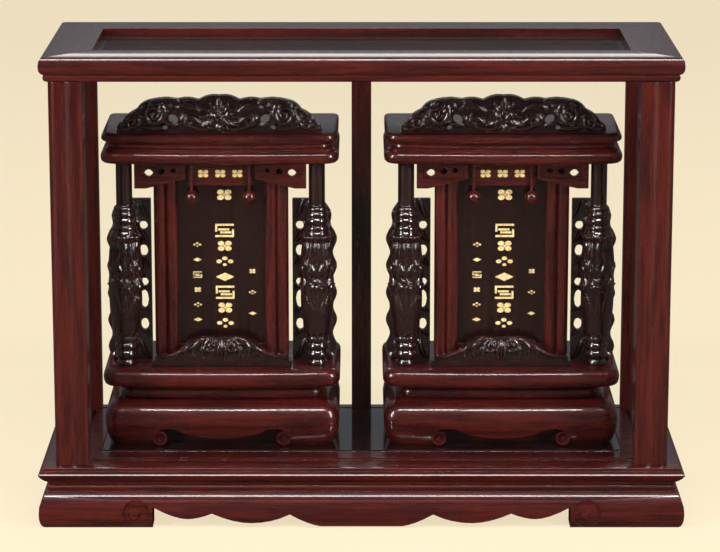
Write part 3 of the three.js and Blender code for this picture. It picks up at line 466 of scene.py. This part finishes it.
def scalloped(nodes, swell, count=8):
    """Outline through the nodes, each span swelling outwards."""
    line = [np.array(nodes[0], float)[None, :]]
    for start, end in zip(nodes, nodes[1:]):
        a, b = np.array(start, float), np.array(end, float)
        d = (b - a) / np.linalg.norm(b - a)
        middle = (a + b) / 2 + np.array([d[1], -d[0]]) * swell
        line.append(bezier([a, middle, b], count)[1:])
    return np.concatenate(line)


# Crest: peony between scrolls

def crest_mesh(half, height):
    X, Z = grid(-half - 1, half + 1, 0, height + 1, 0.55)
    lobes = [(1, 0.06), (0.94, 0.28), (0.8, 0.57), (0.68, 0.79), (0.4, 0.82), (0.2, 0.8)]
    top = height / 0.925
    right = [(x * half, z * top) for x, z in lobes]
    left = [(-x, z) for x, z in reversed(right)]
    outline = np.concatenate([
        [(-half, 0.0), (half, 0.0)], scalloped(right, 4),
        scalloped([right[-1], (0, height - 1), left[0]], 5), scalloped(left, 4)])
    mask = inside_polygon(X, Z, outline)
    field = np.zeros_like(X)
    A = np.abs(X)
    for reach, wide, rise, count in ((23, 13, 5.5, 9), (18, 11, 7.0, 8), (12, 8, 8.5, 7)):
        for k in range(count):
            angle = math.pi * (-0.12 + 1.24 * k / (count - 1))
            petal(field, X, Z, 0, 17, angle, reach * (1.0 if abs(math.cos(angle)) > 0.4 else 1.12),
                  wide, rise, 0.35)
    for k in range(5):
        petal(field, X, Z, 0, 18, math.pi * (1.25 + 0.125 * k), 16, 8, 6.0)
    rosette(field, X, Z, 0, 20, 7, 9.5, 7)
    stems = [
        ([(8, 6), (26, 0), (40, 10), (48, 20)], 6),
        ([(24, 26), (34, 38), (48, 36), (52, 28)], 8),
        ([(46, 34), (60, 46), (76, 42), (86, 38)], 9),
        ([(62, 10), (70, 4), (84, 4), (96, 8)], 7),
        ([(96, 36), (108, 32), (114, 20), (112, 12)], 8),
        ([(100, 10), (112, 2), (120, 4), (122, 8)], 6),
        ([(24, 12), (32, 20), (38, 22), (44, 14)], 7),
        ([(64, 40), (76, 48), (84, 40), (88, 30)], 7),
        ([(104, 26), (110, 30), (117, 18), (121, 10)], 6),
        ([(30, 30), (40, 30), (44, 36), (40, 40)], 6),
    ]
    for points, width in stems:
        stroke(field, A, Z, points, width, 5.0, 0.35)
    volute(field, A, Z, 80, 23, 13.5, 1, 5.5, 1.8, 2.4)
    volute(field, A, Z, 38, 15, 8, -1, 4.5, 1.4, 1.0)
    volute(field, A, Z, 106, 13, 8, 1, 4.5, 1.4, 2.6)
    rosette(field, A, Z, 80, 23, 6, 6.5, 6)
    for x, z, angle, length in ((58, 30, 0.6, 16), (64, 16, -0.4, 14), (92, 14, 0.9, 15),
                                (50, 8, 0.3, 14), (70, 34, 1.2, 9), (94, 30, 0.2, 14)):
        petal(field, A, Z, x, z, angle, length, 7, 4.5)
    rim = smooth_field(mask.astype(float), 6)
    field = np.where(rim < 0.96, np.maximum(field * 0.6, 1.5), field)
    hole = (((A - 56) / 5.5) ** 2 + ((Z - 17 - 0.25 * (A - 56)) / 5.0) ** 2) < 1
    small = (((A - 66) / 2.5) ** 2 + ((Z - 7) / 2.2) ** 2) < 1
    mask &= ~(hole | small)
    return relief_mesh("crest_carving", X, Z, smooth_field(field), mask, 11.0)


# Column: turned rings with a carved drum

def column_profile(height):
    """Radius against height: the same turnings as the solid, as Bezier stretches."""
    shaft, drum = NECK_RADIUS, DRUM_RADIUS
    stretches = [
        [(11, 0), (13.5, 4), (10, 8)], [(10, 8), (17.5, 14), (12, 20)],
        [(12, 20), (17, 25), (12.5, 30)], [(12.5, 30), (18, 33), (15, 38)], [(15, 38), (18, 44)],
        [(18, 44), (drum, 70), (drum, 104)], [(drum, 104), (drum, 140), (18, 158)],
        [(18, 158), (drum, 165)], [(drum, 165), (15, 172)],
        [(15, 172), (17, 176), (13, 179)], [(13, 179), (17, 184), (13, 188)],
        [(13, 188), (16.5, 192), (12.5, 196)], [(12.5, 196), (15, 200), (shaft, 203)],
        [(shaft, 203), (shaft, height - 4)], [(shaft, height - 4), (shaft + 2, height)],
    ]
    line = np.concatenate([bezier(points, 16) for points in stretches])
    return line[:, 1], line[:, 0]


def column_mesh(height):
    around = 176
    faces_round = 4
    sector = 2 * math.pi * DRUM_RADIUS / faces_round
    zs = np.arange(0, height + 0.35, 0.75)
    zs[-1] = height
    angles = np.arange(around) * 2 * math.pi / around
    A, Z = np.meshgrid(angles, zs, indexing="ij")
    U = (A * DRUM_RADIUS + sector / 2) % sector - sector / 2
    V = np.abs(U)
    field = np.zeros_like(U)
    rosette(field, U, Z, 0, 40, 5.5, 1.6, 6)
    petal(field, V, Z, 7, 35, 0.9, 10, 5, 1.4)
    for x, z, angle, length, width in (
            (0, 60, math.pi / 2, 36, 8), (6.5, 60, 1.45, 32, 7), (12.5, 60, 1.5, 36, 7),
            (3.5, 62, 1.7, 24, 5), (16, 62, math.pi / 2, 28, 6)):
        petal(field, V, Z, x, z, angle, length, width, 2.6, 0.45)
    rosette(field, U, Z, 0, 103, 11, 3.4, 9)
    for points, width in (
            ([(10, 92), (16, 96), (15, 106), (11, 112)], 5),
            ([(2, 114), (3, 124), (9, 126), (8, 134)], 5),
            ([(9, 112), (15, 118), (10, 126), (15, 136)], 5),
            ([(0, 116), (0, 126), (0, 136)], 5),
            ([(14, 120), (17, 128), (12, 134)], 4),
            ([(6, 118), (10, 122), (6, 130)], 4)):
        stroke(field, V, Z, points, width, 2.6, 0.3)
    volute(field, V, Z, 13, 88, 4, 1, 2.2, 1.3, 0.5)
    for x, tilt in ((0.0, 0.0), (8.2, 0.06), (16.4, 0.0)):
        petal(field, V, Z, x, 160, -math.pi / 2 + tilt, 30, 8.4, 2.2, 0.0)
    for k in range(3):
        petal(field, U, Z, (k - 1) * sector / 3, 158, math.pi / 2, 11, 9.5, 2.6, 0.4)
    field = smooth_field(field)
    heights, radii = column_profile(height)
    R = np.interp(Z, heights, radii)
    drum = np.clip((Z - 31) / 3, 0, 1) * np.clip((170 - Z) / 3, 0, 1)
    R = R - 1.0 * drum + field * drum
    count = len(zs)
    x = (R * np.sin(A)).ravel()
    y = (-R * np.cos(A)).ravel()
    points = np.stack([x, y, Z.ravel()], 1)
    points = np.concatenate([points, [[0, 0, 0], [0, 0, height]]]) * MM
    faces = []
    low, high = around * count, around * count + 1
    for k in range(around):
        a, b = k * count, ((k + 1) % around) * count
        step = np.arange(count - 1)
        faces += np.stack([a + step, b + step, b + step + 1, a + step + 1], 1).tolist()
        faces.append([low, b, a])
        faces.append([high, a + count - 1, b + count - 1])
    mesh = bpy.data.meshes.new("column_carving")
    mesh.from_pydata(points.tolist(), [], faces)
    mesh.polygons.foreach_set("use_smooth", [True] * len(faces))
    mesh.update()
    return mesh


# Side panel: leaves and flowers with a wavy outer edge, drawn for the right side

def wing_mesh(width, height):
    X, Z = grid(0, width + 1, 0, height, 0.7)
    waves = 2.5 * np.cos(Z * 2 * math.pi / (height / 6))
    taper = np.clip(Z - 0.8 * height, 0, None) * 0.3
    edge = width - 3.5 - waves - taper
    mask = (X < edge) & (X > 0.5)
    field = np.zeros_like(X)
    for k in range(7):
        z = 16 + k * (height - 26) / 6
        hand = 1 if k % 2 else -1
        volute(field, X, Z, width * 0.62, z, 9, hand, 3.0, 1.5, 1.0 + k)
        petal(field, X, Z, width * 0.35, z + 6, 0.7 * hand + 0.3, 20, 8, 2.8)
        petal(field, X, Z, width * 0.8, z - 6, 1.2 * hand, 13, 7, 2.8)
        stroke(field, X, Z, [(4, z - 14), (14, z - 6), (10, z + 6), (20, z + 12)], 5, 2.5, 0.3)
    for z, size in ((46, 7), (78, 11), (100, 5), (140, 7), (172, 5)):
        mask &= (((X - 10) / 4.5) ** 2 + ((Z - z) / size) ** 2) > 1
    return relief_mesh("wing_carving", X, Z, smooth_field(field), mask, 6.5)


def mirrored_mesh(mesh):
    copy = mesh.copy()
    copy.transform(Matrix.Scale(-1, 4, (1, 0, 0)))
    copy.flip_normals()
    return copy


# Skirt in front of the tablet: leaves that sweep out from two volutes

def skirt_mesh(half, height):
    X, Z = grid(-half, half, 0, height, 0.45)
    A = np.abs(X)
    field = np.full_like(X, -3.0)
    arch = np.interp(A, [0, 22, 30, 44, 58, half - 8, half],
                     [height - 3, height, height - 3, 19, 10, 3.5, 3])
    mask = Z < arch
    field[mask] = 0.0
    stroke(field, A, Z, [(20, 22), (44, 18), (58, 4), (82, 3)], 5, 5.0, 0.0, 60)
    stroke(field, A, Z, [(14, 27), (34, 30), (48, 12), (70, 8)], 4.5, 4.0, 0.0, 60)
    for points, width in (
            ([(16, 25), (32, 26), (38, 14), (33, 5)], 7),
            ([(26, 24), (42, 22), (48, 12), (44, 5)], 6),
            ([(40, 16), (52, 14), (58, 8), (55, 3)], 5),
            ([(8, 24), (22, 20), (26, 10), (22, 3)], 6),
            ([(1, 22), (5, 14), (6, 8), (3, 2)], 6),
            ([(0, 24), (0, 14), (0, 3)], 4)):
        stroke(field, A, Z, points, width, 5.0, 0.35)
    volute(field, A, Z, 13, 17.5, 8.0, -1, 5.0, 1.5, 1.4)
    gaps = np.zeros_like(mask)
    for x, z, rx, rz in ((19, 6, 2.5, 3.2), (39, 6, 2.5, 3.5), (9.5, 5, 2.0, 2.5)):
        gaps |= ((A - x) / rx) ** 2 + ((Z - z) / rz) ** 2 < 1
    field = np.where(gaps, np.minimum(field, 0), field)
    return relief_mesh("skirt_carving", X, Z, smooth_field(np.maximum(field, 0)), mask, 7.0)


# Gold ornament: flat motifs a little proud of the surface

def star_points(radius, count, inner):
    reach = [(radius, inner)[k % 2] for k in range(2 * count)]
    return [(r * math.cos(math.pi * k / count), r * math.sin(math.pi * k / count))
            for k, r in enumerate(reach)]


def box_points(x, z, half_x, half_z):
    return [(x - half_x, z - half_z), (x + half_x, z - half_z),
            (x + half_x, z + half_z), (x - half_x, z + half_z)]


def oval_points(x, z, half_x, half_z, count):
    return [(x + half_x * math.cos(t), z + half_z * math.sin(t))
            for t in np.linspace(0, 2 * math.pi, count, endpoint=False)]


def motif_outlines(kind, size):
    """Outlines of one motif about its own middle, in millimetres."""
    bar = size * 0.11
    if kind == "flower":
        turns = [math.pi / 4 + k * math.pi / 2 for k in range(4)]
        petals = [oval_points(size * 0.55 * math.cos(turn), size * 0.4 * math.sin(turn),
                              size * 0.36, size * 0.27, 12) for turn in turns]
        return petals + [star_points(size * 0.2, 4, size * 0.1)]
    if kind == "fret":
        return [
            box_points(0, size * 0.62, size, bar), box_points(0, -size * 0.62, size, bar),
            box_points(-size * 0.9, size * 0.2, bar, size * 0.34),
            box_points(size * 0.9, -size * 0.2, bar, size * 0.34),
            box_points(-size * 0.1, size * 0.1, size * 0.6, bar),
            box_points(size * 0.12, -size * 0.22, size * 0.6, bar),
        ]
    if kind == "cloud":
        dots = ((-0.62, 0, 0.3), (0.62, 0, 0.3), (0, 0.34, 0.3), (0, -0.36, 0.22))
        return [oval_points(size * x, size * z, size * r, 0.7 * size * r, 14) for x, z, r in dots]
    diamond = star_points(size, 2, size * 0.62)
    return [[(x, z * 0.75) for x, z in diamond]]


def motif_mesh(name, places):
    """Raised plates for a list of (kind, x, z, size)."""
    points, faces = [], []
    for kind, x, z, size in places:
        for outline in motif_outlines(kind, size):
            first = len(points)
            n = len(outline)
            points += [((x + px) * MM, -GOLD_FRONT, (z + pz) * MM) for px, pz in outline]
            points += [((x + px) * MM, GOLD_BACK, (z + pz) * MM) for px, pz in outline]
            faces.append(list(range(first, first + n)))
            faces.append(list(range(first + 2 * n - 1, first + n - 1, -1)))
            faces += [[first + (k + 1) % n, first + k, first + n + k, first + n + (k + 1) % n]
                      for k in range(n)]
    mesh = bpy.data.meshes.new(name)
    mesh.from_pydata(points, [], faces)
    mesh.update()
    return mesh


def plate_ornament(height):
    """One broad column of motifs between two narrow ones, under one large flower."""
    kinds = ("fret", "flower", "cloud", "lozenge")
    places = [("flower", 4, height * 0.86, 12)]
    # Each column: place across, share of the height at its top and per step, size, count, kind
    for x, top, step, size, count, first in (
            (4, 0.66, 0.0875, 11.5, 7, 0), (-30, 0.58, 0.085, 5.5, 6, 2),
            (38, 0.43, 0.12, 5.0, 3, 1)):
        places += [(kinds[(k + first) % 4], x, height * (top - step * k), size)
                   for k in range(count)]
    return motif_mesh("plate_ornament", places)


# The case

for node, material in {
        "plinth_front": rose_x, "plinth_back": rose_x,
        "plinth_left": rose_y, "plinth_right": rose_y,
        "base_board": rose_x, "floor_panel": floor_wood, "front_post_left": rose_z,
        "front_post_right": rose_z, "rear_post_left": rose_z, "rear_post_right": rose_z,
        "rear_post_center": rose_z, "top_rail_front": rose_x, "top_rail_back": rose_x,
        "top_rail_left": rose_y, "top_rail_right": rose_y}.items():
    soften(node, material)
for node in ("side_glass_left", "side_glass_right", "rear_glass_left", "rear_glass_right",
             "front_pane_left", "front_pane_right"):
    soften(node, clear_glass, PANE_EDGE)
soften("top_glass", top_glass, PANE_EDGE)

# The shrines

def node_box(node):
    low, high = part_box(node)
    return Vector(low), Vector(high)


crest_low, crest_high = node_box("left_crest")
crest_half = (crest_high.x - crest_low.x) / 2
shared_crest = crest_mesh(crest_half / MM, (crest_high.z - crest_low.z) / MM)
column_low, column_high = node_box("left_column_l")
shared_column = column_mesh((column_high.z - column_low.z) / MM)
wing_low, wing_high = node_box("left_wing_r")
right_wing = wing_mesh((wing_high.x - wing_low.x) / MM, (wing_high.z - wing_low.z) / MM)
shared_wing = {"r": right_wing, "l": mirrored_mesh(right_wing)}
shared_skirt = skirt_mesh(SKIRT_HALF, SKIRT_HEIGHT)
plate_low, plate_high = node_box("left_face_plate")
shared_ornament = plate_ornament((plate_high.z - plate_low.z) / MM)
shared_rosettes = motif_mesh("plaque_ornament", [("flower", x, 0, 8.5) for x in (-21, 0, 21)])

for side in SHRINES:
    for part in ("shrine_plinth", "waist", "deck", "cornice", "plaque",
                 "pendant_l", "pendant_r"):
        soften(f"{side}_{part}", rose_x)
    soften(f"{side}_tablet_frame", rose_z)
    for part in ("face_plate", "slip_box", "tablet_foot"):
        soften(f"{side}_{part}", dark_z)
    soften(f"{side}_name_slips", plain_wood)
    low, high = node_box(f"{side}_crest")
    middle = (low.x + high.x) / 2
    stand_for(shared_crest, f"{side}_crest_carving", (middle, low.y + CREST_FACE, low.z),
              f"{side}_crest", carved_dark)
    for hand in "lr":
        low, high = node_box(f"{side}_column_{hand}")
        axis = ((low.x + high.x) / 2, (low.y + high.y) / 2, low.z)
        stand_for(shared_column, f"{side}_column_{hand}_carving", axis,
                  f"{side}_column_{hand}", carved_dark)
        low, high = node_box(f"{side}_wing_{hand}")
        inner = (low.x if hand == "r" else high.x, low.y + WING_FACE, low.z)
        stand_for(shared_wing[hand], f"{side}_wing_{hand}_carving", inner,
                  f"{side}_wing_{hand}", carved_dark)
        soften(f"{side}_bracket_{hand}", rose_x)
    low, high = node_box(f"{side}_tablet_foot")
    skirt = place(shared_skirt, f"{side}_skirt_carving",
                  (middle, low.y + SKIRT_FACE, low.z + SKIRT_FOOT))
    finish_piece(skirt, carved_dark, "case")
    low, high = node_box(f"{side}_face_plate")
    ornament = place(shared_ornament, f"{side}_plate_gold", (middle, low.y - GOLD_LIFT, low.z))
    finish_piece(ornament, gold, f"{side}_face_plate")
    low, high = node_box(f"{side}_plaque")
    rosettes = place(shared_rosettes, f"{side}_plaque_gold",
                     (middle, low.y - GOLD_LIFT, (low.z + high.z) / 2))
    finish_piece(rosettes, gold, "case")


# Floor, backdrop, light and camera

def stage_material():
    material, tree = new_material("studio_floor")
    bsdf = add_node(tree, "ShaderNodeBsdfPrincipled", Roughness=0.9)
    tone = noise(tree, object_coordinates(tree, (1, 1, 1)), 2.0)
    tree.links.new(ramp(tree, tone, [(0.3, (0.93, 0.82, 0.60)), (0.7, (0.95, 0.85, 0.64))]),
                   bsdf.inputs["Base Color"])
    flat = add_node(tree, "ShaderNodeEmission", Color=(*BACKGROUND, 1.0), Strength=1.0)
    path = add_node(tree, "ShaderNodeLightPath")
    dim = add_node(tree, "ShaderNodeBsdfDiffuse", Color=(0.10, 0.08, 0.07, 1.0))
    lit = mix_shaders(tree, path.outputs["Is Glossy Ray"], bsdf.outputs["BSDF"],
                      dim.outputs["BSDF"])
    seen = arithmetic(tree, "MULTIPLY", path.outputs["Is Camera Ray"], FLOOR_FLATNESS)
    show(tree, mix_shaders(tree, seen, lit, flat.outputs["Emission"]))
    return material


def build_stage():
    mesh = bpy.data.meshes.new("studio_floor")
    corners = [(-1, -1), (1, -1), (1, 1), (-1, 1)]
    points = [(x * FLOOR_REACH, y * FLOOR_REACH, -FLOOR_DROP) for x, y in corners]
    mesh.from_pydata(points, [], [(0, 1, 2, 3)])
    floor = bpy.data.objects.new("studio_floor", mesh)
    bpy.context.collection.objects.link(floor)
    floor.data.materials.append(stage_material())


def build_world():
    world = bpy.data.worlds.new("studio")
    bpy.context.scene.world = world
    world.use_nodes = True
    tree = world.node_tree
    tree.nodes.clear()
    # Seen straight on or through glass it is the plain background, else a dim light
    path = add_node(tree, "ShaderNodeLightPath")
    seen = add_node(tree, "ShaderNodeMath", operation="MAXIMUM")
    tree.links.new(path.outputs["Is Camera Ray"], seen.inputs[0])
    tree.links.new(path.outputs["Is Transmission Ray"], seen.inputs[1])
    light = add_node(tree, "ShaderNodeBackground", Color=(0.62, 0.66, 0.72, 1.0), Strength=0.22)
    back = add_node(tree, "ShaderNodeBackground", Color=(*BACKGROUND, 1.0), Strength=1.0)
    output = add_node(tree, "ShaderNodeOutputWorld")
    mixed = mix_shaders(tree, seen.outputs["Value"], light.outputs["Background"],
                        back.outputs["Background"])
    tree.links.new(mixed, output.inputs["Surface"])


def softbox(name, location, width, height, watts):
    """A rectangular lamp that faces the middle of the case."""
    data = bpy.data.lights.new(name, "AREA")
    data.shape = "RECTANGLE"
    data.size = width
    data.size_y = height
    data.energy = watts
    data.color = LAMP_COLOUR
    lamp = bpy.data.objects.new(name, data)
    lamp.location = location
    lamp.rotation_euler = (CASE_MIDDLE - Vector(location)).to_track_quat("-Z", "Y").to_euler()
    bpy.context.collection.objects.link(lamp)


build_stage()
build_world()
softbox("left_box", (-2.1, -1.9, 1.3), 0.6, 1.7, 80)
softbox("right_box", (2.1, -1.9, 1.3), 0.6, 1.7, 80)
softbox("top_box", (0, -1.7, 2.3), 1.7, 0.22, 46)
softbox("back_box", (0, 2.6, 2.0), 2.0, 0.6, 12)

camera_data = bpy.data.cameras.new("photo_camera")
camera_data.lens = CAMERA_LENS
camera_data.sensor_width = CAMERA_SENSOR
camera = bpy.data.objects.new("photo_camera", camera_data)
camera.location = CAMERA_PLACE
camera.rotation_euler = (math.pi / 2 - CAMERA_PITCH, 0, 0)
bpy.context.collection.objects.link(camera)
bpy.context.scene.camera = camera
bpy.context.scene.view_settings.view_transform = "Standard"
